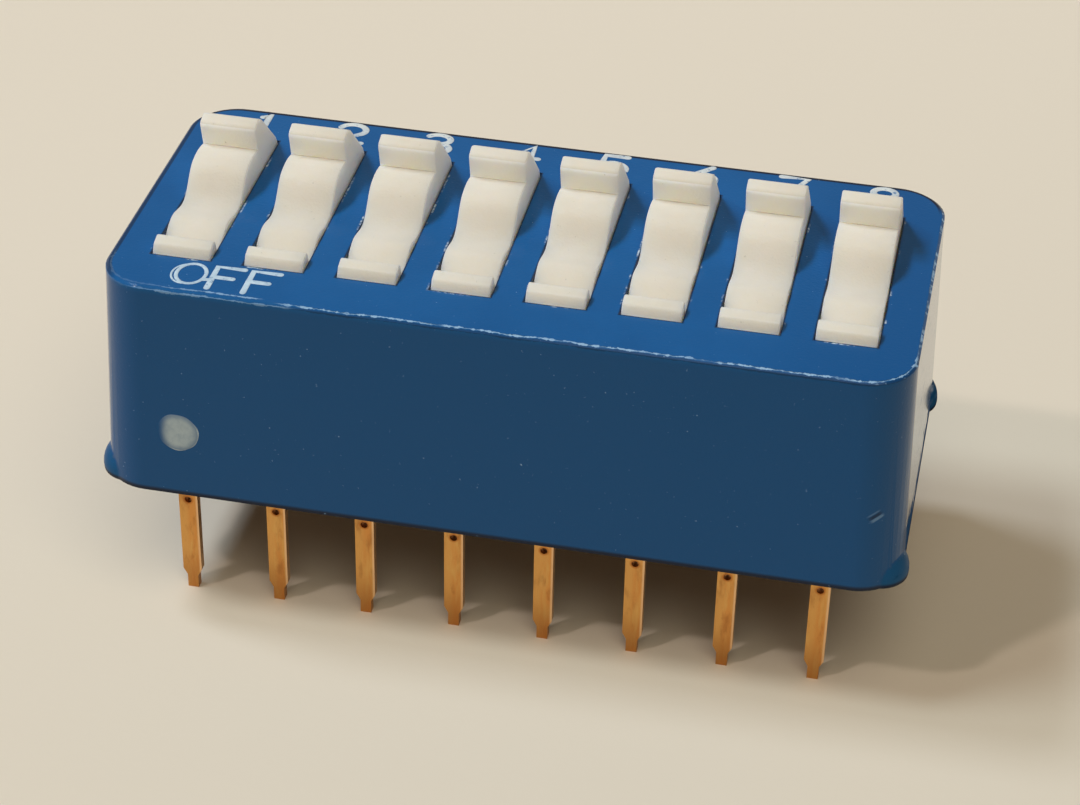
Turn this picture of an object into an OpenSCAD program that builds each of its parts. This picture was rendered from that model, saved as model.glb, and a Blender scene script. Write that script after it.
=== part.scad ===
// Eight-pole rocker DIP switch: a moulded blue housing, a base that carries the
// terminals, and for each pole a rocker with a spring and a contact ball inside it.
// The housing's corners are heat-staked under the base to hold it in.
// X runs along the poles, -Y is the OFF side and +Z is up. The origin lies midway
// between the two pin rows, on the plane of the pin tips. Every rocker is at OFF.

/* [Poles and pins] */
// Number of poles
poles = 8; // [4:1:8]
// Distance from one pole to the next
pitch = 2.54; // [2.2:0.01:3.2]
// Distance between the front and the rear row of pins
row_gap = 7.62; // [6.35:0.01:9.2]
// Length of a pin below the housing
pin_l = 4.2; // [3.6:0.1:6]
// Width of a pin's blade
pin_w = 0.54; // [0.44:0.01:0.7]
// Width of the narrow end of a pin
tip_w = 0.31; // [0.2:0.01:0.4]
// Length of the narrow end of a pin
tip_l = 0.42; // [0.3:0.01:1]
// Length of the shoulder between the blade and its narrow end
shoulder_l = 0.22; // [0.05:0.01:0.4]
// Diameter of the pilot hole in each pin
pilot_d = 0.2; // [0.1:0.01:0.3]
// Distance from the housing's underside down to the pilot hole
pilot_drop = 1.1; // [0.5:0.05:1.5]

/* [Housing] */
// Height of the housing
body_h = 6.5; // [5.4:0.1:8]
// Distance from a pin row out to the long side of the housing, at the top
side_margin = 1.09; // [0.95:0.01:1.5]
// Distance from the last slot to the end of the housing, at the top
end_margin = 1.08; // [0.9:0.01:1.6]
// How far each side leans out from the top to the bottom
draft = 0.22; // [0.05:0.01:0.4]
// Radius of the upright corners
corner_r = 1.3; // [0.8:0.05:1.6]
// Bevel around the top face
top_bevel = 0.07; // [0.02:0.01:0.2]
// Thickness of the skirt around the base, at the bottom
skirt_t = 0.75; // [0.5:0.01:0.9]
// Wall left in a rib between two neighbouring trunnions
web_t = 0.34; // [0.2:0.01:0.4]
// How far a stake swells out of a corner's foot
stake_out = 0.2; // [0.1:0.01:0.4]
// Height of a stake
stake_h = 1.1; // [0.8:0.05:1.6]
// Direction in which a stake swells, from the end towards the long side
stake_turn = 20; // [10:1:70]
// How far a stake laps over the base's corner
stake_lap = 0.7; // [0.4:0.05:0.8]
// Depth of the base's underside inside the skirt
base_recess = 0.15; // [0.05:0.01:0.3]

/* [Rockers] */
// Width of a rocker
rocker_w = 1.6; // [1.4:0.01:1.92]
// Radius of a rocker's ends about its pivot
rocker_r = 3.6; // [3.2:0.01:4.3]
// Depth of the pivot below the top face
pivot_depth = 1.6; // [1.3:0.01:1.9]
// Tilt of a rocker from level, each way
tilt = 17; // [12:0.1:20.4]
// Height of the raised tips over the top face, on a level rocker
tip_h = 1.06; // [0.9:0.01:1.2]
// Rounding of the inner edge of each raised tip
tip_round = 0.16; // [0.05:0.01:0.2]
// How much the outer face of each raised tip is flattened
end_flat = 0.11; // [0.02:0.01:0.2]
// Distance from the pivot to the step below each raised tip
step_y = 2; // [1.8:0.01:2.1]
// Height of the foot of that step over the top face
step_h = 0.28; // [0.1:0.01:0.5]
// Distance from the pivot to each of the two crests
crest_y = 1.1; // [0.8:0.01:1.3]
// Height of the crests over the top face
crest_h = 0.55; // [0.4:0.01:0.7]
// Height of the valley between the crests over the top face
valley_h = 0.13; // [0:0.01:0.3]
// Depth of the rocker's wings below the pivot
wing_drop = 0.3; // [0.1:0.01:0.4]
// Half the depth of the boss that holds the spring and the ball
boss_y = 0.85; // [0.7:0.01:1]
// Diameter of the trunnions
trunnion_d = 1; // [0.8:0.01:1.2]

/* [Contacts] */
// Diameter of a contact ball
ball_d = 0.92; // [0.8:0.01:1.1]
// Distance from the pivot to the centre of the ball
ball_drop = 2.75; // [2.5:0.01:3.3]
// Distance from the pivot to the roof of the spring's bore
roof_drop = 0.5; // [0.3:0.01:0.7]
// Diameter of the spring's wire
wire_d = 0.12; // [0.08:0.01:0.14]
// Number of turns of the spring
turns = 6; // [4:1:7]
// Thickness of the terminal metal
metal_t = 0.25; // [0.2:0.01:0.3]
// Width of a contact strip
strip_w = 1.1; // [0.9:0.01:1.3]
// Half the length of the trough that the ball swings in
trough_y = 1.3; // [1.2:0.01:1.5]
// Gap between the two strips, which the ball bridges at ON
strip_gap = 0.36; // [0.2:0.01:0.5]

/* [Clearances] */
// Rocker to the slot's side, on each side
side_gap = 0.03; // [0.02:0.01:0.05]
// Rocker's ends to the slot's ends
swing_gap = 0.05; // [0.03:0.01:0.08]
// Trunnion to its bearing, and to the end of its recess
bearing_gap = 0.03; // [0.02:0.01:0.05]
// Ball to its bore
ball_gap = 0.02; // [0.01:0.01:0.04]
// Spring to its bore
spring_gap = 0.05; // [0.03:0.01:0.08]
// Ball to the contact strips
contact_gap = 0.04; // [0.02:0.01:0.06]
// Base to the skirt, and its tongues to the ribs
fit_gap = 0.02; // [0.01:0.01:0.04]

/* [Hidden] */
$fn = 64;
over = 1;                                       // how far a cut runs past its face
slot_w = rocker_w + 2 * side_gap;
body_w = row_gap + 2 * side_margin;
body_l = (poles - 1) * pitch + slot_w + 2 * end_margin;
foot_l = body_l + 2 * draft;
foot_w = body_w + 2 * draft;
top_z = pin_l + body_h;
pivot_z = top_z - pivot_depth;
swing_r = rocker_r + swing_gap;
bearing_r = trunnion_d / 2 + bearing_gap;
recess_t = (pitch - slot_w - web_t) / 2;        // depth of a trunnion's recess in a rib
trunnion_l = recess_t + side_gap - bearing_gap;
ball_r = ball_d / 2;
bore_r = ball_r + ball_gap;
boss_end = ball_drop + 0.15;
contact_r = ball_drop + ball_r + contact_gap;   // radius of the trough about the pivot
shelf_drop = sqrt(pow(contact_r, 2) - pow(trough_y, 2));
shelf_z = pivot_z - shelf_drop;                 // top of the base, foot of the ribs
cavity_l = foot_l - 2 * skirt_t;
cavity_w = foot_w - 2 * skirt_t;
cavity_r = corner_r - skirt_t;
contact_y = ball_drop * sin(tilt);              // how far the ball swings from the middle
bend_r = metal_t + 0.1;                         // outer radius of a terminal's bend
neck_y = (trough_y + row_gap / 2) / 2;          // where a strip narrows to the pin's width
coil_r = bore_r - spring_gap - wire_d / 2;
end_angle = 28;                                 // middle of a tip's flat, up from level
wire_sides = 6;
turn_steps = 14;

function names(stem) = [for (k = [1:poles]) str(stem, "_", k)];

function pole_x(k) = (k - (poles + 1) / 2) * pitch;

// ---- shared shapes ----

// Turns a Y-Z outline into a bar of width w along X
module along_x(w) {
    rotate([90, 0, 90])
        linear_extrude(w, center = true)
            children();
}

// A plate with round corners, standing on z = 0
module round_plate(l, w, r, h) {
    linear_extrude(h) {
        square([l - 2 * r, w], center = true);
        square([l, w - 2 * r], center = true);
        for (sx = [-1, 1], sy = [-1, 1])
            translate([sx * (l / 2 - r), sy * (w / 2 - r)])
                circle(r);
    }
}

// One layer of the housing's outside: g is how far it stands out from the top's outline
module layer(g, z) {
    translate([0, 0, z])
        round_plate(body_l + 2 * g, body_w + 2 * g, corner_r, 0.001, $fn = 48);
}

module at_pivot(k) {
    translate([pole_x(k), 0, pivot_z])
        children();
}

module in_rocker(k) {
    at_pivot(k)
        rotate([tilt, 0, 0])
            children();
}

// ---- housing ----

module shell() {
    hull() {
        layer(draft, pin_l);
        layer(0, top_z - top_bevel);
        layer(-top_bevel, top_z - 0.001);
    }
}

// The swelling that heat staking leaves on a corner: a dome, cut off flat underneath.
// The corner's upright axis is at the origin.
module stake() {
    r = (pow(stake_h / 2, 2) + pow(stake_out, 2)) / (2 * stake_out);
    rotate([0, 0, stake_turn])
        intersection() {
            translate([corner_r + stake_out - r, 0, stake_h / 8])
                rotate([0, 90, 0])
                    sphere(r);
            translate([0, -stake_h, 0])
                cube([2 * corner_r, 2 * stake_h, 2 * stake_h]);
        }
}

module chamber() {
    rotate([0, 90, 0])
        cylinder(r = swing_r, h = slot_w, center = true);
    translate([-slot_w / 2, -swing_r, -shelf_drop - over])
        cube([slot_w, 2 * swing_r, shelf_drop + over]);
}

// Recesses on both sides of a chamber, open downwards, in which the trunnions turn
module trunnion_recess() {
    w = slot_w + 2 * recess_t;
    rotate([0, 90, 0])
        cylinder(r = bearing_r, h = w, center = true);
    translate([-w / 2, -bearing_r, -shelf_drop - over])
        cube([w, 2 * bearing_r, shelf_drop + over]);
}

module housing() {
    color([0.13, 0.35, 0.58]) {
        difference() {
            union() {
                shell();
                for (a = [0, 1], b = [0, 1])
                    mirror([a, 0, 0])
                        mirror([0, b, 0])
                            translate([foot_l / 2 - corner_r, foot_w / 2 - corner_r, pin_l])
                                stake();
            }
            for (k = [1:poles])
                at_pivot(k) {
                    chamber();
                    trunnion_recess();
                }
            translate([0, 0, pin_l - over])
                round_plate(cavity_l, cavity_w, cavity_r, shelf_z - pin_l + over);
        }
        translate([0, 0, pin_l])
            intersection() {
                round_plate(cavity_l + fit_gap, cavity_w + fit_gap, cavity_r, base_recess);
                for (sx = [-1, 1], sy = [-1, 1])
                    translate([sx * cavity_l / 2, sy * cavity_w / 2, 0])
                        cylinder(r = stake_lap, h = base_recess);
            }
    }
}

// ---- base ----

// The tongue that closes a trunnion's recess from below and cradles the trunnion
module tongue() {
    t = recess_t - 2 * fit_gap;
    w = 2 * (bearing_r - fit_gap);
    difference() {
        translate([slot_w / 2 + fit_gap, -w / 2, -shelf_drop - base_recess])
            cube([t, w, shelf_drop + base_recess - trunnion_d / 4]);
        rotate([0, 90, 0])
            cylinder(r = bearing_r, h = pitch, center = true);
    }
}

module base() {
    color([0.09, 0.09, 0.1]) {
        difference() {
            translate([0, 0, pin_l + base_recess])
                round_plate(cavity_l - 2 * fit_gap, cavity_w - 2 * fit_gap,
                            cavity_r - fit_gap, shelf_z - pin_l - base_recess);
            for (k = [1:poles]) {
                at_pivot(k)
                    rotate([0, 90, 0])
                        cylinder(r = contact_r, h = slot_w, center = true);
                front_terminal_shape(k, fit_gap);
                rear_terminal_shape(k, fit_gap);
            }
        }
        for (k = [1:poles], s = [0, 1])
            at_pivot(k)
                mirror([s, 0, 0])
                    tongue();
    }
}

// ---- rockers ----

// Height of a rocker's top over the top face, from the middle out to the step
function top_h(y) =
    y < crest_y
        ? valley_h + (crest_h - valley_h) * (1 - cos(180 * y / crest_y)) / 2
        : crest_h - (crest_h - step_h) * pow((y - crest_y) / (step_y - crest_y), 2);

// Half of a level rocker's outline, from the middle of its top to the foot of its boss
half_outline = concat(
    [for (i = [0:8]) let (y = crest_y * i / 8) [y, pivot_depth + top_h(y)]],
    [for (i = [1:5]) let (y = crest_y + (step_y - crest_y) * i / 5) [y, pivot_depth + top_h(y)]],
    [for (a = [180:-15:90])
        [step_y + 0.03 + tip_round * (1 + cos(a)), pivot_depth + tip_h - tip_round * (1 - sin(a))]],
    [
        [rocker_r + over, pivot_depth + tip_h],
        [rocker_r + over, -wing_drop],
        [boss_y + wing_drop, -wing_drop],
        [boss_y, -2 * wing_drop],
        [boss_y, -boss_end]
    ]
);

module rocker_body() {
    difference() {
        intersection() {
            along_x(rocker_w)
                for (s = [0, 1])
                    mirror([s, 0])
                        polygon(concat([[0, -boss_end]], half_outline));
            rotate([0, 90, 0])
                cylinder(r = rocker_r, h = 2 * rocker_w, center = true);
        }
        for (s = [0, 1])
            mirror([0, s, 0])
                rotate([end_angle, 0, 0])
                    translate([-rocker_w, rocker_r - end_flat, -rocker_r])
                        cube([2 * rocker_w, rocker_r, 2 * rocker_r]);
    }
}

module rocker(k) {
    color([0.9, 0.88, 0.83])
        in_rocker(k)
            difference() {
                union() {
                    rocker_body();
                    rotate([0, 90, 0])
                        cylinder(d = trunnion_d, h = rocker_w + 2 * trunnion_l, center = true);
                }
                translate([0, 0, -boss_end - over])
                    cylinder(r = bore_r, h = boss_end + over - roof_drop);
            }
}

module ball(k) {
    color([0.82, 0.68, 0.4])
        in_rocker(k)
            translate([0, 0, -ball_drop])
                sphere(ball_r);
}

// ---- springs ----

// The wire's middle runs from under the bore's roof to the ball's shoulder
spring_top = -roof_drop - wire_d / 2 - 0.01;
spring_foot = -ball_drop + sqrt(pow(ball_r + wire_d / 2 + 0.01, 2) - pow(coil_r, 2));
closed_pitch = wire_d * 1.1;
open_pitch = (spring_top - spring_foot - 2 * closed_pitch) / (turns - 2);

// Height of the wire's middle after t turns: one closed turn at each end
function wire_z(t) =
    t < 1 ? spring_foot + t * closed_pitch
    : t < turns - 1 ? spring_foot + closed_pitch + (t - 1) * open_pitch
    : spring_top - (turns - t) * closed_pitch;

function wire_point(t, b) =
    let (r = coil_r + wire_d / 2 * cos(b))
    [r * cos(360 * t), r * sin(360 * t), wire_z(t) + wire_d / 2 * sin(b)];

module coil() {
    n = turns * turn_steps;
    s = wire_sides;
    points = [for (i = [0:n], j = [0:s - 1]) wire_point(i / turn_steps, 360 * j / s)];
    sides = [for (i = [0:n - 1], j = [0:s - 1])
        [i * s + j, i * s + (j + 1) % s, (i + 1) * s + (j + 1) % s, (i + 1) * s + j]];
    first = [for (j = [s - 1:-1:0]) j];
    last = [for (j = [0:s - 1]) n * s + j];
    polyhedron(points, concat(sides, [first, last]), convexity = 8);
}

module spring(k) {
    color([0.7, 0.7, 0.72])
        in_rocker(k)
            coil();
}

// ---- terminals ----

// Y-Z outline of a rear contact strip about the pivot, from y_in out to its neck
module strip_outline(y_in) {
    intersection() {
        difference() {
            circle(contact_r + metal_t, $fn = 128);
            circle(contact_r, $fn = 128);
        }
        translate([y_in, -contact_r - metal_t])
            square([trough_y - y_in, contact_r + metal_t]);
    }
    translate([trough_y - metal_t / 4, -shelf_drop - metal_t])
        square([neck_y - trough_y + metal_t / 4, metal_t]);
}

// Y-Z outline of the neck and the bend down into the pin
module bend_outline() {
    y = row_gap / 2 + metal_t / 2 - bend_r;
    translate([neck_y, -shelf_drop - metal_t])
        square([y - neck_y, metal_t]);
    translate([y, -shelf_drop - bend_r])
        intersection() {
            difference() {
                circle(bend_r);
                circle(bend_r - metal_t);
            }
            square(bend_r);
        }
}

// X-Z outline of a pin, from its tip up to the bend
module pin_outline(grow) {
    w = pin_w / 2 + grow;
    polygon([
        [-tip_w / 2, 0], [tip_w / 2, 0],
        [tip_w / 2, tip_l], [w, tip_l + shoulder_l],
        [w, shelf_z - bend_r], [-w, shelf_z - bend_r],
        [-w, tip_l + shoulder_l], [-tip_w / 2, tip_l]
    ]);
}

// A terminal of the rear row, with its strip starting at y_in from the pivot
module terminal_shape(y_in, grow) {
    translate([0, 0, pivot_z]) {
        along_x(strip_w + 2 * grow)
            strip_outline(y_in);
        along_x(pin_w + 2 * grow)
            bend_outline();
    }
    difference() {
        translate([0, row_gap / 2, 0])
            rotate([90, 0, 0])
                linear_extrude(metal_t, center = true)
                    pin_outline(grow);
        translate([0, row_gap / 2, pin_l - pilot_drop])
            rotate([90, 0, 0])
                cylinder(d = pilot_d, h = 2 * metal_t, center = true);
    }
}

module rear_terminal_shape(k, grow) {
    translate([pole_x(k), 0, 0])
        terminal_shape(-contact_y + strip_gap / 2, grow);
}

module front_terminal_shape(k, grow) {
    translate([pole_x(k), 0, 0])
        mirror([0, 1, 0])
            terminal_shape(contact_y + strip_gap / 2, grow);
}

module rear_terminal(k) {
    color([0.83, 0.6, 0.32])
        rear_terminal_shape(k, 0);
}

module front_terminal(k) {
    color([0.83, 0.6, 0.32])
        front_terminal_shape(k, 0);
}

// ---- nodes ----

housing();
base();
for (k = [1:poles]) {
    rocker(k);
    spring(k);
    ball(k);
    front_terminal(k);
    rear_terminal(k);
}
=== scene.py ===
import math

import bmesh
import bpy
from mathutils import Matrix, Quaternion, Vector


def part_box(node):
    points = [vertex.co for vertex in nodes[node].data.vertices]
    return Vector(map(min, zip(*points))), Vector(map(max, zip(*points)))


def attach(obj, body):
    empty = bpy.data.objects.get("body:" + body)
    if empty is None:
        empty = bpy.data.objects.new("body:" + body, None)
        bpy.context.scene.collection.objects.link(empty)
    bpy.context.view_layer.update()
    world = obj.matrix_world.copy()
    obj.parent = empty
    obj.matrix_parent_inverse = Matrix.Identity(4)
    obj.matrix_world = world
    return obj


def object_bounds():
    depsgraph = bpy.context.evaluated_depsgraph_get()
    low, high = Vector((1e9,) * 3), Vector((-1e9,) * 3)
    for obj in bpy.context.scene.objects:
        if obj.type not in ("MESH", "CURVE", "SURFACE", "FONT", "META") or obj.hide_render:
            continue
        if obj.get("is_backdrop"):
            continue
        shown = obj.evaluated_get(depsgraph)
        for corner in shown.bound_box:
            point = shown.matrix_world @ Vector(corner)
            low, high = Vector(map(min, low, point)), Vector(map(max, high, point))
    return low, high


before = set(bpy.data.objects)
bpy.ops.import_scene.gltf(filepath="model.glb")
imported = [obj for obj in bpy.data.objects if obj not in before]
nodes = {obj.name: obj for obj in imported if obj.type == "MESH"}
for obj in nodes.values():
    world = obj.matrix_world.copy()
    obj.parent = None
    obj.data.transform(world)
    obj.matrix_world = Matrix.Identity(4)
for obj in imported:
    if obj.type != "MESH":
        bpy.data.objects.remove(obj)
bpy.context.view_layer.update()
MM = 0.001

# ---- Terminals ----
# Sixteen terminals, stamped from thin brass strip, plated, and bent down into solder pins with narrow
# ends and a small pilot hole. They are pressed into the base before the rockers go in. Handling has
# left the plating streaky, brown in places and toward the ends. A painted reflection makes the left
# half of each pin paler, and a painted highlight runs along its right edge.

terminal_edge = 0.02 * MM
crease_angle = math.radians(50)
bevel_angle = math.radians(34)
flat_angle = math.radians(0.4)
plating = (0.70, 0.315, 0.085, 1)
# Pale plating of the streaks, also used as the painted reflection on each pin's left half
plating_streak_and_reflection = (0.74, 0.42, 0.13, 1)
plating_brown = (0.36, 0.14, 0.04, 1)
plating_ring = (0.46, 0.15, 0.03, 1)
# Painted highlight colour for the right edge of each pin
plating_highlight = (0.90, 0.62, 0.36, 1)
pin_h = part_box("housing")[0].z / MM
pilot_drop = 1.1
poles = 8
first_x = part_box("front_terminal_1")[0].x / MM
last_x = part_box("front_terminal_" + str(poles))[0].x / MM
pitch = (last_x - first_x) / (poles - 1)


def add_node(tree, kind, inputs=None, **settings):
    """A node of that kind. Each input takes a plain value or another node's output."""
    node = tree.nodes.new(kind)
    for name, value in settings.items():
        setattr(node, name, value)
    for name, value in (inputs or {}).items():
        if isinstance(value, bpy.types.NodeSocket):
            tree.links.new(value, node.inputs[name])
        else:
            node.inputs[name].default_value = value
    return node


def maths(tree, operation, *values):
    """One sum on plain values or other nodes' outputs."""
    inputs = dict(enumerate(values))
    return add_node(tree, "ShaderNodeMath", inputs, operation=operation).outputs[0]


def times(tree, mask, *others):
    """Masks multiplied together: what is left is where all of them are."""
    for other in others:
        mask = maths(tree, "MULTIPLY", mask, other)
    return mask


def strongest(tree, mask, *others):
    """The highest of several masks at each point."""
    for other in others:
        mask = maths(tree, "MAXIMUM", mask, other)
    return mask


def apart(tree, across, up):
    """How far away a point is that lies so far across and so far up."""
    squares = maths(tree, "POWER", across, 2.0), maths(tree, "POWER", up, 2.0)
    return maths(tree, "SQRT", maths(tree, "ADD", *squares))


def mix_colours(tree, mask, first, second):
    """The first colour, turned into the second where the mask is 1."""
    inputs = {"Factor": mask, "A": first, "B": second}
    node = tree.nodes.new("ShaderNodeMix")
    node.data_type = "RGBA"
    for socket in (s for s in node.inputs if s.enabled):
        value = inputs[socket.name]
        if isinstance(value, bpy.types.NodeSocket):
            tree.links.new(value, socket)
        else:
            socket.default_value = value
    return next(s for s in node.outputs if s.enabled)


def ramp(tree, value, low, high, out_low=0.0, out_high=1.0):
    """The value turned smoothly from out_low at low to out_high at high."""
    inputs = {"Value": value, "From Min": low, "From Max": high, "To Min": out_low, "To Max": out_high}
    node = add_node(tree, "ShaderNodeMapRange", inputs, interpolation_type="SMOOTHSTEP")
    return node.outputs["Result"]


def shader_group(name, takes, gives):
    """An empty shader group, with what it takes and what it gives. Sizes in it are in millimetres."""
    group = bpy.data.node_groups.new(name, "ShaderNodeTree")
    for label, default in takes.items():
        kind = "NodeSocketVector" if default is None else "NodeSocketFloat"
        socket = group.interface.new_socket(label, in_out="INPUT", socket_type=kind)
        if default is not None:
            socket.default_value = default
    for label in gives:
        group.interface.new_socket(label, in_out="OUTPUT", socket_type="NodeSocketFloat")
    return group, group.nodes.new("NodeGroupInput").outputs, group.nodes.new("NodeGroupOutput").inputs


def noise_at(tree, place, scale, detail):
    """Smooth noise around 0.5, finer where the scale is high."""
    inputs = {"Vector": place, "Scale": scale, "Detail": detail}
    return add_node(tree, "ShaderNodeTexNoise", inputs).outputs["Fac"]


# Patches of uneven colour or dirt, as a mask: Size is their usual width, Share how much they cover
patches, take, give = shader_group(
    "patches", {"Place": None, "Size": 1.0, "Share": 0.5, "Softness": 0.15}, ["Mask"])
noise = add_node(patches, "ShaderNodeTexNoise", {
    "Vector": take["Place"], "Scale": maths(patches, "DIVIDE", 1.0, take["Size"]),
    "Detail": 5.0, "Roughness": 0.6})
threshold = ramp(patches, take["Share"], 0.0, 1.0, 0.72, 0.28)
patches.links.new(
    ramp(patches, noise.outputs["Fac"],
         maths(patches, "SUBTRACT", threshold, take["Softness"]),
         maths(patches, "ADD", threshold, take["Softness"])),
    give["Mask"])

# Grain of a surface, as a height: a fine grain over broad, low swells
grain, take, give = shader_group(
    "grain", {"Place": None, "Fine Size": 0.05, "Swell Size": 1.5, "Swell": 0.5}, ["Height"])
fine = noise_at(grain, take["Place"], maths(grain, "DIVIDE", 1.0, take["Fine Size"]), 3.0)
swell = noise_at(grain, take["Place"], maths(grain, "DIVIDE", 1.0, take["Swell Size"]), 1.0)
grain.links.new(maths(grain, "MULTIPLY_ADD", swell, take["Swell"], fine), give["Height"])


def patchy(tree, place, size, share, softness):
    """A mask of uneven patches of that usual width, over that share of the surface."""
    inputs = {"Place": place, "Size": size, "Share": share, "Softness": softness}
    return add_node(tree, "ShaderNodeGroup", inputs, node_tree=patches).outputs["Mask"]


def grainy(tree, place, fine_size, swell_size, swell):
    """The height of a fine grain over broad, low swells."""
    inputs = {"Place": place, "Fine Size": fine_size, "Swell Size": swell_size, "Swell": swell}
    return add_node(tree, "ShaderNodeGroup", inputs, node_tree=grain).outputs["Height"]


def new_material(name):
    """A material with its Principled shader, its tree, and the place on the piece in millimetres."""
    material = bpy.data.materials.new(name)
    material.use_nodes = True
    tree = material.node_tree
    tree.nodes.clear()
    shader = add_node(tree, "ShaderNodeBsdfPrincipled")
    add_node(tree, "ShaderNodeOutputMaterial", {"Surface": shader.outputs["BSDF"]})
    place = add_node(tree, "ShaderNodeVectorMath", {
        0: add_node(tree, "ShaderNodeTexCoord").outputs["Object"], "Scale": 1 / MM}, operation="SCALE")
    return material, tree, shader, place.outputs["Vector"]


def connect(tree, shader, **inputs):
    """Plain values and links for a shader's sockets, named with _ in place of a space."""
    for name, value in inputs.items():
        socket = shader.inputs[name.replace("_", " ")]
        if isinstance(value, bpy.types.NodeSocket):
            tree.links.new(value, socket)
        else:
            socket.default_value = value


def stretch(tree, place, scale):
    """The place scaled each way, so that patterns on it run long where the scale is low."""
    return add_node(tree, "ShaderNodeMapping", {"Vector": place, "Scale": scale}).outputs["Vector"]


def bump(tree, height, distance, strength=1.0):
    """A normal from a height, which stands for that distance."""
    return add_node(tree, "ShaderNodeBump", {
        "Height": height, "Distance": distance, "Strength": strength}).outputs["Normal"]


# Smooth shading with creases left sharp, as a modifier so that the CAD mesh itself stays as it is
smooth_faces = bpy.data.node_groups.new("smooth_faces", "GeometryNodeTree")
smooth_faces.interface.new_socket("Mesh", in_out="INPUT", socket_type="NodeSocketGeometry")
smooth_faces.interface.new_socket("Mesh", in_out="OUTPUT", socket_type="NodeSocketGeometry")
forget = add_node(smooth_faces, "GeometryNodeRemoveAttribute", {
    "Geometry": add_node(smooth_faces, "NodeGroupInput").outputs["Mesh"], "Name": "custom_normal"})
smoothed = add_node(smooth_faces, "GeometryNodeSetShadeSmooth", {"Geometry": forget.outputs["Geometry"]})
crease = maths(smooth_faces, "GREATER_THAN",
               add_node(smooth_faces, "GeometryNodeInputMeshEdgeAngle").outputs["Unsigned Angle"],
               crease_angle)
creased = add_node(smooth_faces, "GeometryNodeSetShadeSmooth", {
    "Geometry": smoothed.outputs["Geometry"], "Selection": crease, "Shade Smooth": False}, domain="EDGE")
add_node(smooth_faces, "NodeGroupOutput", {"Mesh": creased.outputs["Geometry"]})


def soften(piece, edge):
    """Rounds a piece's sharp edges by that width and shades the rest smooth."""
    weld = piece.modifiers.new("weld", "WELD")
    weld.merge_threshold = 0.002 * MM
    flat = piece.modifiers.new("flat", "DECIMATE")
    flat.decimate_type = "DISSOLVE"
    flat.angle_limit = flat_angle
    if edge:
        bevel = piece.modifiers.new("edge", "BEVEL")
        bevel.limit_method = "ANGLE"
        bevel.angle_limit = bevel_angle
        bevel.width = edge
        bevel.segments = 2
    smooth = piece.modifiers.new("smooth", "NODES")
    smooth.node_group = smooth_faces
    normals = piece.modifiers.new("normals", "WEIGHTED_NORMAL")
    normals.keep_sharp = True


def finish_node(name, material, edge):
    """A CAD node that keeps its shape: new material, softened edges."""
    piece = nodes[name]
    for slot in piece.material_slots:
        slot.material = material
    soften(piece, edge)


def right_of_pole(tree, x):
    """How far to the right of the nearest pole's middle a point lies."""
    turns = maths(tree, "FRACT", maths(tree, "DIVIDE", x, pitch))
    return maths(tree, "MULTIPLY", maths(tree, "SUBTRACT", turns, 0.5), pitch)


pin_plating, tree, shader, place = new_material("pin_plating")
streaks = patchy(tree, stretch(tree, place, (5.0, 5.0, 0.7)), size=0.8, share=0.42, softness=0.16)
stains = patchy(tree, stretch(tree, place, (2.5, 2.5, 0.8)), size=0.6, share=0.34, softness=0.14)
axes = add_node(tree, "ShaderNodeSeparateXYZ", {0: place}).outputs
from_middle = right_of_pole(tree, axes["X"])
# Painted reflection: the left half of each pin is painted paler
left_half_reflection = ramp(tree, from_middle, -0.12, 0.06, 0.6, 0.0)
colour = mix_colours(tree, strongest(tree, streaks, left_half_reflection), plating, plating_streak_and_reflection)
toward_end = ramp(tree, axes["Z"], 0.3, 1.6, 0.45, 0.0)
stained = strongest(tree, times(tree, stains, 0.5), toward_end)
colour = mix_colours(tree, stained, colour, plating_brown)
# Painted highlight: a pale line along the right edge of each pin
right_edge_highlight = ramp(tree, from_middle, 0.19, 0.24, 0.0, 0.7)
colour = mix_colours(tree, right_edge_highlight, colour, plating_highlight)
from_hole = apart(tree, from_middle, maths(tree, "SUBTRACT", axes["Z"], pin_h - pilot_drop))
colour = mix_colours(tree, ramp(tree, from_hole, 0.11, 0.18, 0.75, 0.0), colour, plating_ring)
marks = grainy(tree, stretch(tree, place, (1.0, 1.0, 0.12)), fine_size=0.03, swell_size=0.5, swell=1.5)
connect(tree, shader, Base_Color=colour, Metallic=1.0,
        Roughness=ramp(tree, stains, 0.0, 1.0, 0.42, 0.55),
        Normal=bump(tree, marks, 0.012 * MM))
for side in ("front", "rear"):
    for name in sorted(n for n in nodes if n.startswith(side + "_terminal_")):
        finish_node(name, pin_plating, terminal_edge)

# ---- Base ----
# The block that carries the terminals and closes the housing from below, moulded in black
# glass-filled plastic. It is held by the housing's heat-staked corners.

base_edge = 0.03 * MM
base_black = (0.018, 0.018, 0.02, 1)
base_grey = (0.045, 0.044, 0.042, 1)

base_plastic, tree, shader, place = new_material("base_plastic")
fibres = patchy(tree, stretch(tree, place, (0.4, 2.0, 1.0)), size=0.5, share=0.35, softness=0.2)
surface = grainy(tree, place, fine_size=0.06, swell_size=1.2, swell=0.6)
connect(tree, shader, Base_Color=mix_colours(tree, fibres, base_black, base_grey),
        Roughness=ramp(tree, fibres, 0.0, 1.0, 0.5, 0.7),
        Normal=bump(tree, surface, 0.02 * MM, 0.6))
finish_node("base", base_plastic, base_edge)

# ---- Springs and contact balls ----
# Each rocker holds a coil spring of stainless wire, which presses a gold-plated ball onto the contact
# strips. The ball rolls and leaves the gold with fine rubbed bands.

spring_steel = (0.60, 0.60, 0.62, 1)
spring_dark = (0.30, 0.30, 0.32, 1)
ball_gold = (0.86, 0.64, 0.30, 1)
ball_rubbed = (0.70, 0.50, 0.26, 1)

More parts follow.
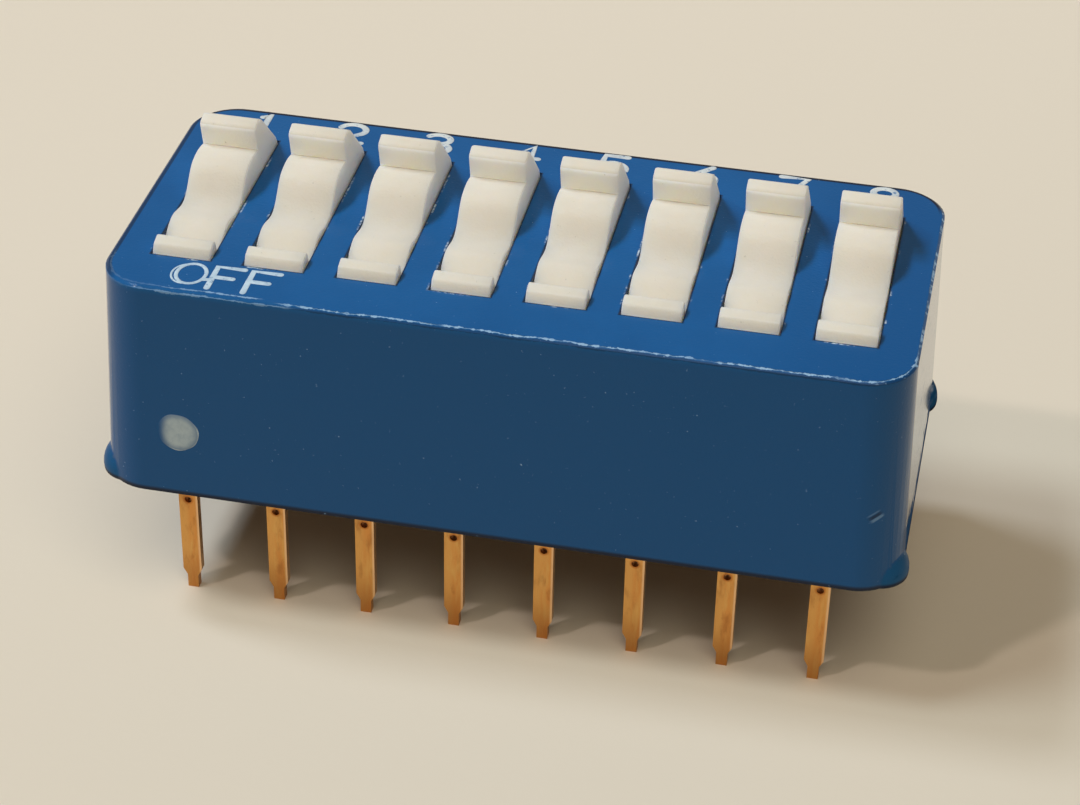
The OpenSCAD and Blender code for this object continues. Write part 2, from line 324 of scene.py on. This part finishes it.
spring_wire, tree, shader, place = new_material("spring_wire")
drawn = patchy(tree, place, size=0.2, share=0.4, softness=0.2)
connect(tree, shader, Base_Color=mix_colours(tree, drawn, spring_steel, spring_dark), Metallic=1.0,
        Roughness=ramp(tree, drawn, 0.0, 1.0, 0.22, 0.4))
ball_plating, tree, shader, place = new_material("ball_plating")
rubbed = patchy(tree, stretch(tree, place, (0.5, 3.0, 3.0)), size=0.3, share=0.4, softness=0.1)
connect(tree, shader, Base_Color=mix_colours(tree, rubbed, ball_gold, ball_rubbed), Metallic=1.0,
        Roughness=ramp(tree, rubbed, 0.0, 1.0, 0.15, 0.3))
for name in sorted(n for n in nodes if n.startswith("spring_")):
    finish_node(name, spring_wire, 0)
for name in sorted(n for n in nodes if n.startswith("ball_")):
    finish_node(name, ball_plating, 0)

# ---- Rockers ----
# Eight rockers, moulded in ivory nylon, each turning on two trunnions. The plastic is slightly
# translucent and nearly matt. It has yellowed unevenly and carries a few specks of grime. Its steep
# faces are painted paler, as painted light.

rocker_edge = 0.15 * MM
rocker_ivory = (0.735, 0.68, 0.58, 1)
rocker_cream = (0.70, 0.64, 0.53, 1)
# Painted light colour for the steep faces
rocker_lit_pale = (0.93, 0.905, 0.84, 1)
rocker_grime = (0.36, 0.33, 0.27, 1)

rocker_nylon, tree, shader, place = new_material("rocker_nylon")
shade = patchy(tree, place, size=1.4, share=0.5, softness=0.3)
specks = patchy(tree, place, size=0.14, share=0.06, softness=0.04)
colour = mix_colours(tree, shade, rocker_ivory, rocker_cream)
# Painted light: the steep faces are painted paler than the rest
turned = add_node(tree, "ShaderNodeSeparateXYZ", {
    0: add_node(tree, "ShaderNodeTexCoord").outputs["Normal"]}).outputs
steep_lit = ramp(tree, maths(tree, "ABSOLUTE", turned["Z"]), 0.28, 0.52, 1.0, 0.0)
colour = mix_colours(tree, steep_lit, colour, rocker_lit_pale)
colour = mix_colours(tree, times(tree, specks, 0.6), colour, rocker_grime)
surface = grainy(tree, place, fine_size=0.07, swell_size=0.7, swell=1.2)
connect(tree, shader, Base_Color=colour, Roughness=ramp(tree, shade, 0.0, 1.0, 0.6, 0.7), IOR=1.3,
        Subsurface_Weight=0.9, Subsurface_Scale=0.8 * MM, Subsurface_Radius=(1.0, 0.85, 0.65),
        Normal=bump(tree, surface, 0.015 * MM, 0.7))
for name in sorted(n for n in nodes if n.startswith("rocker_")):
    finish_node(name, rocker_nylon, rocker_edge)

# ---- Housing ----
# The shell, moulded in blue plastic with eight slots. Its foot is staked over the base, which leaves a
# swelling low at each corner. The front rim is rubbed pale, the slots keep burrs, and the right end has
# dark specks and a dark ragged stretch along its foot. Painted shade darkens the sides, the top toward
# the right end, the bottom edge, the slot gaps and the rims at the back and at the left end.

housing_edge = 0.04 * MM
housing_lean = 0.22
corner_r = 1.3
end_margin = 1.08
slot_half_w, slot_half_l = 0.83, 3.28
fork_x = -6.0
nick_x, nick_drop, nick_slant = 10.18, 4.11, math.radians(33)
housing_blue = (0.005, 0.103, 0.30, 1)
housing_deep = (0.0045, 0.087, 0.258, 1)
# Painted shade colour for the top toward the right end
painted_shade_blue = (0.003, 0.079, 0.238, 1)
# Painted shade colour of the sides
shaded_side_blue = (0.0045, 0.072, 0.212, 1)
stake_blue = (0.006, 0.078, 0.20, 1)
rubbed_pale = (0.28, 0.46, 0.66, 1)
burr_white = (0.50, 0.60, 0.68, 1)
# Dark for dirt and marks, and for painted shade in the slot gaps, along the back rim and the bottom edge
shade_and_dirt_dark = (0.006, 0.012, 0.03, 1)

low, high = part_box("housing")
low_z, top_z = low.z / MM, high.z / MM
wall_h = top_z - low_z
half_w = high.y / MM - housing_lean
half_l = (poles - 1) / 2 * pitch + slot_half_w + end_margin


def beyond(tree, value, limit):
    """How far a value lies past a limit, either side of zero."""
    return maths(tree, "SUBTRACT", maths(tree, "ABSOLUTE", value), limit)


def outward(tree, axes, spread):
    """How far a point lies outward of the top's outline, once that has spread by so much each way."""
    beyond_x = maths(tree, "SUBTRACT", beyond(tree, axes["X"], half_l - corner_r), spread)
    beyond_y = maths(tree, "SUBTRACT", beyond(tree, axes["Y"], half_w - corner_r), spread)
    outside = apart(tree, strongest(tree, beyond_x, 0.0), strongest(tree, beyond_y, 0.0))
    inside = maths(tree, "MINIMUM", strongest(tree, beyond_x, beyond_y), 0.0)
    return maths(tree, "SUBTRACT", maths(tree, "ADD", outside, inside), corner_r)


def band(tree, value, middle, half_width, fade):
    """A mask that is 1 near the middle value and fades out over the last part."""
    away = maths(tree, "ABSOLUTE", maths(tree, "SUBTRACT", value, middle))
    return ramp(tree, away, half_width, maths(tree, "ADD", half_width, fade), 1.0, 0.0)


def shake(tree, value, noise, reach):
    """The value moved up and down by noise, over that reach."""
    return maths(tree, "MULTIPLY_ADD", maths(tree, "SUBTRACT", noise, 0.5), reach, value)


def measure_along(tree, place, direction):
    """How far a place lies from the origin in one direction."""
    return add_node(tree, "ShaderNodeVectorMath", {0: place, 1: direction},
                    operation="DOT_PRODUCT").outputs["Value"]


housing_plastic, tree, shader, place = new_material("housing_plastic")
axes = add_node(tree, "ShaderNodeSeparateXYZ", {0: place}).outputs
depth = maths(tree, "SUBTRACT", top_z, axes["Z"])
# How far a point lies outward and down over the rim: zero midway on the bevel
over_rim = maths(tree, "ADD", outward(tree, axes, 0.0), depth)

# The rubbed line wanders along the front rim: one line to the right of the fork, two to its left
front = ramp(tree, axes["Y"], -3.6, -3.0, 1.0, 0.0)
along = stretch(tree, place, (1.0, 1.0, 0.0))
wavy_rim = shake(tree, over_rim, noise_at(tree, along, 1.1, 3.0), 0.16)
wavy_rim = shake(tree, wavy_rim, noise_at(tree, along, 16.0, 4.0), 0.07)
half_line = ramp(tree, noise_at(tree, along, 5.0, 7.0), 0.38, 0.70, 0.0, 0.05)
half_fine = times(tree, half_line, 0.8)
worn = patchy(tree, along, size=1.2, share=0.66, softness=0.1)
line = times(tree, band(tree, wavy_rim, -0.05, half_line, 0.015), worn,
             ramp(tree, axes["X"], fork_x, fork_x + 0.7))
upper = times(tree, band(tree, wavy_rim, -0.15, half_fine, 0.02),
              ramp(tree, axes["X"], -9.6, -7.5, 0.15, 0.8),
              ramp(tree, axes["X"], fork_x - 0.5, fork_x - 0.1, 1.0, 0.0))
lower = times(tree, band(tree, wavy_rim, 0.06, half_fine, 0.03),
              ramp(tree, axes["X"], -10.0, -9.0, 0.1, 0.5),
              ramp(tree, axes["X"], fork_x + 0.2, fork_x + 0.8, 1.0, 0.0))
under_rim = times(tree, band(tree, wavy_rim, 0.05, 0.03, 0.04), front,
                  ramp(tree, axes["X"], fork_x, fork_x + 1.0, 0.0, 0.5))

# Chips along the right end's rim, and a painted shade line along the rims at the back and at the left end
bare = patchy(tree, along, size=0.35, share=0.42, softness=0.05)
chips = times(tree, band(tree, over_rim, 0.0, 0.05, 0.03), bare, ramp(tree, axes["X"], 9.6, 10.2))
rim = strongest(tree, times(tree, strongest(tree, line, upper, lower), front), chips)
far_rim = strongest(tree, ramp(tree, axes["Y"], half_w - 1.3, half_w - 0.7),
                    ramp(tree, axes["X"], -half_l + 0.2, -half_l + 0.6, 0.7, 0.0))
back_shade_line = times(tree, band(tree, over_rim, -0.06, 0.09, 0.04), far_rim)

# White burrs beside the slots, and painted shade along the gap inside them
from_slot = strongest(tree, beyond(tree, right_of_pole(tree, axes["X"]), slot_half_w),
                      beyond(tree, axes["Y"], slot_half_l))
end_of_row = poles / 2 * pitch
poles_only = ramp(tree, maths(tree, "ABSOLUTE", axes["X"]), end_of_row - 0.1, end_of_row, 1.0, 0.0)
ragged = patchy(tree, place, size=0.12, share=0.5, softness=0.1)
burr_share = patchy(tree, place, size=1.2, share=0.36, softness=0.05)
burr = times(tree, band(tree, from_slot, 0.05, 0.015, 0.02), ramp(tree, depth, 0.03, 0.1, 1.0, 0.0),
             ragged, burr_share, poles_only)
gap_shade = times(tree, ramp(tree, from_slot, 0.01, 0.06, 0.85, 0.0), ramp(tree, depth, 0.02, 0.08, 1.0, 0.0),
            poles_only)

# Specks on the right end, and a ragged stretch along its foot: darker, and without gloss
on_end = times(tree, ramp(tree, axes["X"], half_l - 0.05, half_l), ramp(tree, depth, 0.3, 0.5))
end_place = stretch(tree, place, (1.0, 0.3, 1.6))
end_specks = patchy(tree, end_place, size=0.3, share=0.16, softness=0.05)
toward_foot = shake(tree, depth, noise_at(tree, end_place, 2.5, 5.0), 3.5)
toward_foot = maths(tree, "ADD", toward_foot, ramp(tree, axes["Y"], -3.6, -1.0, 0.8, 0.0))
low_edge = times(tree, ramp(tree, toward_foot, 5.7, 6.1), ramp(tree, axes["Y"], -4.5, -3.4))
end_dark = times(tree, strongest(tree, end_specks, low_edge), on_end)

# The swellings at the foot stand proud of the leaning walls, and melting left them duller
proud = outward(tree, axes, times(tree, depth, housing_lean / wall_h))
swollen = ramp(tree, proud, 0.01, 0.04)

# A nick low on the front's right corner: two short light strokes with a dark one between them
in_nick = add_node(tree, "ShaderNodeVectorMath", {
    0: place, 1: (nick_x, 0.0, top_z - nick_drop)}, operation="SUBTRACT").outputs["Vector"]
nick_along = measure_along(tree, in_nick, (math.cos(nick_slant), 0.0, math.sin(nick_slant)))
nick_over = measure_along(tree, in_nick, (-math.sin(nick_slant), 0.0, math.cos(nick_slant)))
nick_ends = times(tree, band(tree, nick_along, 0.0, 0.09, 0.14), ramp(tree, axes["Y"], -4.0, -3.8, 1.0, 0.0))
nick_light = strongest(tree, band(tree, nick_over, -0.1, 0.03, 0.03),
                       times(tree, band(tree, nick_over, 0.09, 0.01, 0.025), 0.6))
nick_dark = band(tree, nick_over, 0.0, 0.03, 0.03)

# Each colour is laid over the ones before it
mottle = patchy(tree, place, size=2.5, share=0.5, softness=0.3)
specks = patchy(tree, place, size=0.1, share=0.02, softness=0.02)
colour = mix_colours(tree, mottle, housing_blue, housing_deep)
for mask, laid_over in (
        # Painted shade: the top darker toward the right end
        (ramp(tree, axes["X"], 4.5, 10.0), painted_shade_blue),
        # Painted shade: the sides darker than the top
        (ramp(tree, depth, 0.02, 0.25), shaded_side_blue),
        (swollen, stake_blue),
        # Painted shade in the slot gaps and along the back and left rims
        (strongest(tree, gap_shade, back_shade_line), shade_and_dirt_dark),
        (times(tree, end_dark, 0.2), shade_and_dirt_dark),
        # Painted shade: a dark line along the bottom edge of the walls
        (ramp(tree, depth, wall_h - 0.17, wall_h - 0.06), shade_and_dirt_dark),
        (specks, rubbed_pale),
        (under_rim, shade_and_dirt_dark),
        (rim, rubbed_pale),
        (burr, burr_white),
        (times(tree, nick_light, nick_ends, 0.38), rubbed_pale),
        (times(tree, nick_dark, nick_ends, 0.7), shade_and_dirt_dark)):
    colour = mix_colours(tree, mask, colour, laid_over)

bare_of_gloss = strongest(tree, end_dark, times(tree, swollen, 0.6))
dull = strongest(tree, ramp(tree, mottle, 0.0, 1.0, 0.36, 0.46), bare_of_gloss)
glossy = times(tree, ramp(tree, depth, 0.02, 0.25, 0.55, 1.0), maths(tree, "SUBTRACT", 1.0, bare_of_gloss))
surface = grainy(tree, place, fine_size=0.08, swell_size=2.2, swell=2.0)
chipped = maths(tree, "MULTIPLY_ADD", maths(tree, "ADD", rim, burr), -3.0, surface)
connect(tree, shader, Base_Color=colour, Roughness=dull, IOR=1.15,
        Coat_Weight=glossy, Coat_Roughness=0.09, Coat_IOR=1.25,
        Normal=bump(tree, chipped, 0.012 * MM, 0.6))
finish_node("housing", housing_plastic, housing_edge)

# ---- Print ----
# White ink, stamped on the top: a number behind each rocker and OFF at the front left corner, and a
# round dot on the front. It is a thin raised film, rubbed away in places.

ink_height = 0.010
ink_sunk = 0.006
ink_white = (0.72, 0.75, 0.71, 1)
ink_cool = (0.57, 0.71, 0.79, 1)
ink_worn = (0.08, 0.19, 0.36, 1)
ink_grey = (0.42, 0.50, 0.52, 1)


def arc(cx, cy, rx, ry, start, end, steps=14):
    """Points round an ellipse, from one angle to another in degrees."""
    turns = [math.radians(start + (end - start) * i / steps) for i in range(steps + 1)]
    return [(cx + rx * math.cos(t), cy + ry * math.sin(t)) for t in turns]


# Pen strokes of each sign, on a cell one wide and one high
signs = {
    "1": [[(0.3, 0.8), (0.52, 1.0), (0.52, 0.0)]],
    "2": [arc(0.5, 0.7, 0.48, 0.3, 165, -35) + [(0.02, 0.0), (1.0, 0.0)]],
    "3": [arc(0.46, 0.75, 0.44, 0.25, 150, -90), arc(0.46, 0.26, 0.52, 0.27, 90, -150)],
    "4": [[(0.75, 0.0), (0.75, 1.0), (0.0, 0.32), (1.0, 0.32)]],
    "5": [[(0.92, 1.0), (0.12, 1.0), (0.06, 0.56)] + arc(0.48, 0.32, 0.5, 0.32, 130, -150)],
    "6": [[(0.78, 1.0), (0.2, 0.55)] + arc(0.5, 0.31, 0.48, 0.31, 150, -210, 22)],
    "7": [[(0.04, 1.0), (0.98, 1.0), (0.36, 0.0)]],
    "8": [arc(0.5, 0.76, 0.4, 0.24, -90, 270, 20), arc(0.5, 0.26, 0.5, 0.26, 90, 450, 20)],
    "O": [arc(0.5, 0.54, 0.52, 0.46, 0, 360, 28)],
    "F": [[(0.0, 0.0), (0.0, 1.0), (0.96, 1.0)], [(0.0, 0.52), (0.7, 0.52)]],
}


def ink_stroke(bm, path, half_width):
    """One pen stroke along the path, in millimetres on the plane z = 0: a low dome with round ends."""
    closed = math.dist(path[0], path[-1]) < 0.01
    if closed:
        path = path[:-1]
    across = 6
    count = len(path)
    stations = []
    for i, point in enumerate(path):
        before = path[i - 1] if i or closed else path[i]
        after = path[(i + 1) % count] if i < count - 1 or closed else path[i]
        run = Vector((after[0] - before[0], after[1] - before[1])).normalized()
        stations.append((Vector(point), run, half_width))
    if not closed:
        # The stroke narrows to a round end at both ends
        first, last = stations[0], stations[-1]
        swing = [math.radians(a) for a in (88, 66, 44, 22)]
        start = [(first[0] - first[1] * half_width * math.sin(a), first[1], half_width * math.cos(a))
                 for a in swing]
        end = [(last[0] + last[1] * half_width * math.sin(a), last[1], half_width * math.cos(a))
               for a in reversed(swing)]
        stations = start + stations + end
    rows = []
    for centre, run, half in stations:
        side = Vector((-run.y, run.x))
        top, bottom = [], []
        for j in range(across + 1):
            u = math.cos(math.pi * j / across)
            spot = centre + side * half * u
            rise = ink_height * (half / half_width) * math.sqrt(max(0.0, 1 - u * u))
            top.append(bm.verts.new((spot.x * MM, spot.y * MM, rise * MM)))
        for j in range(across - 1, 0, -1):
            u = math.cos(math.pi * j / across)
            spot = centre + side * half * u
            bottom.append(bm.verts.new((spot.x * MM, spot.y * MM, -ink_sunk * MM)))
        rows.append(top + bottom)
    pairs = list(zip(rows, rows[1:])) + ([(rows[-1], rows[0])] if closed else [])
    for row, following in pairs:
        for j in range(len(row)):
            k = (j + 1) % len(row)
            bm.faces.new((row[j], row[k], following[k], following[j]))
    if not closed:
        bm.faces.new(rows[0][::-1])
        bm.faces.new(rows[-1])


def ink_piece(name, strokes):
    """One piece from strokes, each a path with half its width."""
    bm = bmesh.new()
    for path, half_width in strokes:
        ink_stroke(bm, path, half_width)
    bmesh.ops.recalc_face_normals(bm, faces=bm.faces)
    mesh = bpy.data.meshes.new(name)
    bm.to_mesh(mesh)
    bm.free()
    mesh.shade_smooth()
    piece = bpy.data.objects.new(name, mesh)
    bpy.context.scene.collection.objects.link(piece)
    return piece


def sign_strokes(sign, left, foot_y, width, height, pen):
    """The strokes of one sign, set in a box on the top, for a pen of that half width."""
    return [([(left + x * width, foot_y + y * height) for x, y in path], pen) for path in signs[sign]]


ink, tree, shader, place = new_material("ink")
film = patchy(tree, place, size=0.16, share=0.28, softness=0.08)
thin = patchy(tree, place, size=0.5, share=0.5, softness=0.2)
far_side = ramp(tree, add_node(tree, "ShaderNodeSeparateXYZ", {0: place}).outputs["Y"], -2.0, 2.0)
colour = mix_colours(tree, far_side, ink_cool, ink_white)
colour = mix_colours(tree, times(tree, thin, 0.35), colour, ink_worn)
colour = mix_colours(tree, film, colour, ink_worn)
surface = grainy(tree, place, fine_size=0.05, swell_size=0.3, swell=0.5)
connect(tree, shader, Base_Color=colour, Roughness=ramp(tree, film, 0.0, 1.0, 0.5, 0.4), IOR=1.3,
        Normal=bump(tree, surface, 0.01 * MM))


def print_on_case(piece):
    """Inks a piece of print and fixes it to the case."""
    piece.data.materials.append(ink)
    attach(piece, "case")


number_w, number_h, number_y, number_pen = 0.78, 1.0, 3.7, 0.10
number_shift = 0.16
for k in range(1, poles + 1):
    low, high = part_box("rocker_" + str(k))
    middle = (low.x + high.x) / 2 / MM + number_shift
    strokes = sign_strokes(str(k), middle - number_w / 2, number_y, number_w, number_h, number_pen)
    piece = ink_piece("number_" + str(k), strokes)
    piece.location.z = top_z * MM
    print_on_case(piece)

# The O came out thin, with a second faint outline at its left, and runs into the first F
off_left, off_foot, off_w, off_h, off_step = -8.75, -4.55, 0.76, 1.05, 0.98
o_pen, f_pen, ghost_pen, web_pen = 0.055, 0.088, 0.03, 0.07
strokes = sign_strokes("O", off_left, off_foot, off_w, off_h, o_pen)
for place_in_word in (1, 2):
    strokes += sign_strokes("F", off_left + place_in_word * off_step, off_foot, off_w, off_h, f_pen)
ghost = arc(off_left + 0.26, off_foot + 0.53, 0.4, 0.47, 85, 285)
web = [(off_left + off_w, off_foot + 0.36), (off_left + off_step, off_foot + 0.40)]
strokes += [(ghost, ghost_pen), (web, web_pen)]
piece = ink_piece("word_off", strokes)
piece.location.z = top_z * MM
print_on_case(piece)

# The dot on the front, a thin film with a slightly wavy outline, faded at its left
dot_r, dot_x, dot_z = 0.62, -8.65, low_z + 2.03
rings, sides = 10, 40
wall_y = -(half_w + housing_lean * (top_z - dot_z) / wall_h)
lean = math.atan2(housing_lean, wall_h)
bm = bmesh.new()
middle = bm.verts.new((0, 0, ink_height * MM))
row = []
for ring in range(1, rings + 1):
    reach = ring / rings
    rise = ink_height * (1 - reach ** 6) - ink_sunk * reach ** 6
    following = []
    for corner in range(sides):
        turn = 2 * math.pi * corner / sides
        spread = dot_r * reach * (1 + 0.02 * math.sin(3 * turn + 1) + 0.012 * math.sin(7 * turn))
        spot = (spread * math.cos(turn) * MM, spread * math.sin(turn) * MM, rise * MM)
        following.append(bm.verts.new(spot))
    for corner in range(sides):
        beside = (corner + 1) % sides
        if row:
            bm.faces.new((row[corner], following[corner], following[beside], row[beside]))
        else:
            bm.faces.new((middle, following[corner], following[beside]))
    row = following
bm.faces.new(row[::-1])
mesh = bpy.data.meshes.new("dot")
bm.to_mesh(mesh)
bm.free()
mesh.shade_smooth()
dot = bpy.data.objects.new("dot", mesh)
bpy.context.scene.collection.objects.link(dot)
dot.location = Vector((dot_x, wall_y, dot_z)) * MM
dot.rotation_euler.x = math.pi / 2 - lean

dot_ink, tree, shader, place = new_material("dot_ink")
axes = add_node(tree, "ShaderNodeSeparateXYZ", {0: place}).outputs
reach = add_node(tree, "ShaderNodeVectorMath", {0: place}, operation="LENGTH").outputs["Value"]
film = ramp(tree, reach, dot_r - 0.26, dot_r - 0.04, 0.95, 0.42)
to_lower_right = maths(tree, "SUBTRACT", axes["X"], axes["Y"])
crisp = times(tree, band(tree, reach, dot_r - 0.03, 0.02, 0.03),
              ramp(tree, to_lower_right, 0.0, 0.5, 0.0, 0.5))
fade = ramp(tree, axes["X"], -dot_r, -0.2)
uneven = patchy(tree, place, size=0.25, share=0.45, softness=0.25)
cover = times(tree, maths(tree, "ADD", film, crisp), fade, ramp(tree, uneven, 0.0, 1.0, 1.0, 0.8))
surface = grainy(tree, place, fine_size=0.05, swell_size=0.3, swell=0.5)
# Where the ink is thin, the front's painted-shade blue shows through
connect(tree, shader, Base_Color=mix_colours(tree, cover, shaded_side_blue, ink_grey), Roughness=0.45, IOR=1.15,
        Normal=bump(tree, surface, 0.01 * MM))
dot.data.materials.append(dot_ink)
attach(dot, "case")

# ---- Stage, light and camera ----
# A plain pale table under the pins, painted darker toward the front right as painted shade. Two windows
# and a lamp stand at the left, a broad ceiling light hangs above, and the room adds a weak warm light.
# The camera looks down at the front, a little from the right.

table_pale = (0.77, 0.685, 0.552, 1)
# Painted shade colour for the table toward the front right
table_shaded = (0.665, 0.588, 0.46, 1)
room_light = (0.125, 0.085, 0.055, 1)
room_dim = (0.40, 0.345, 0.28, 1)
room_pale = (0.66, 0.60, 0.50, 1)
table_r = 0.6
camera_at = Vector((12.787, -63.828, 50.942)) * MM
camera_toward = Vector((-0.1571, 0.8029, -0.5751))
camera_roll = math.radians(1.316)
camera_lens = 94.2

bm = bmesh.new()
bmesh.ops.create_circle(bm, cap_ends=True, segments=96, radius=table_r)
mesh = bpy.data.meshes.new("table")
bm.to_mesh(mesh)
bm.free()
table = bpy.data.objects.new("table", mesh)
bpy.context.scene.collection.objects.link(table)
table_top, tree, shader, place = new_material("table_top")
# Painted shade: the table darker toward the front right
dull = ramp(tree, measure_along(tree, place, (0.7, -0.7, 0.0)), -32.0, 47.0)
surface = grainy(tree, place, fine_size=0.4, swell_size=8.0, swell=1.0)
connect(tree, shader, Base_Color=mix_colours(tree, dull, table_pale, table_shaded), Roughness=0.7, IOR=1.2,
        Normal=bump(tree, surface, 0.02 * MM, 0.3))
table.data.materials.append(table_top)
table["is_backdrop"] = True


def add_lamp(name, strength, colour, spread, toward):
    """A far-off light that stands in that direction and looks so many degrees wide."""
    lamp = bpy.data.lights.new(name, "SUN")
    lamp.energy = strength
    lamp.color = colour
    lamp.angle = math.radians(spread)
    piece = bpy.data.objects.new(name, lamp)
    piece.rotation_euler = (-Vector(toward)).to_track_quat("-Z", "Y").to_euler()
    bpy.context.scene.collection.objects.link(piece)


add_lamp("window_far", strength=1.02, colour=(0.71, 0.825, 1.0), spread=11, toward=(-0.482, 0.083, 0.872))
add_lamp("window_near", strength=1.07, colour=(0.75, 0.896, 1.0), spread=13, toward=(-0.465, -0.157, 0.871))
add_lamp("desk_lamp", strength=0.50, colour=(1.0, 0.87, 0.83), spread=3.5, toward=(-0.445, -0.419, 0.791))
add_lamp("ceiling", strength=1.02, colour=(1.0, 0.965, 0.842), spread=43, toward=(0.198, -0.439, 0.876))

world = bpy.data.worlds.new("room")
bpy.context.scene.world = world
world.use_nodes = True
tree = world.node_tree
tree.nodes.clear()
rays = add_node(tree, "ShaderNodeLightPath").outputs
seen = strongest(tree, rays["Is Camera Ray"], rays["Is Glossy Ray"], rays["Is Transmission Ray"])
upward = add_node(tree, "ShaderNodeSeparateXYZ", {
    0: add_node(tree, "ShaderNodeTexCoord").outputs["Generated"]}).outputs["Z"]
shown = mix_colours(tree, ramp(tree, upward, 0.2, 0.6), room_pale, room_dim)
light = add_node(tree, "ShaderNodeBackground", {"Color": mix_colours(tree, seen, room_light, shown)})
add_node(tree, "ShaderNodeOutputWorld", {"Surface": light.outputs["Background"]})

bpy.context.scene.view_settings.view_transform = "Standard"
camera = bpy.data.objects.new("camera", bpy.data.cameras.new("camera"))
camera.data.lens = camera_lens
camera.data.clip_start = 0.005
camera.data.clip_end = 5.0
camera.location = camera_at
look = camera_toward.to_track_quat("-Z", "Y")
camera.rotation_euler = (look @ Quaternion((0, 0, 1), camera_roll)).to_euler()
bpy.context.scene.collection.objects.link(camera)
bpy.context.scene.camera = camera

low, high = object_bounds()
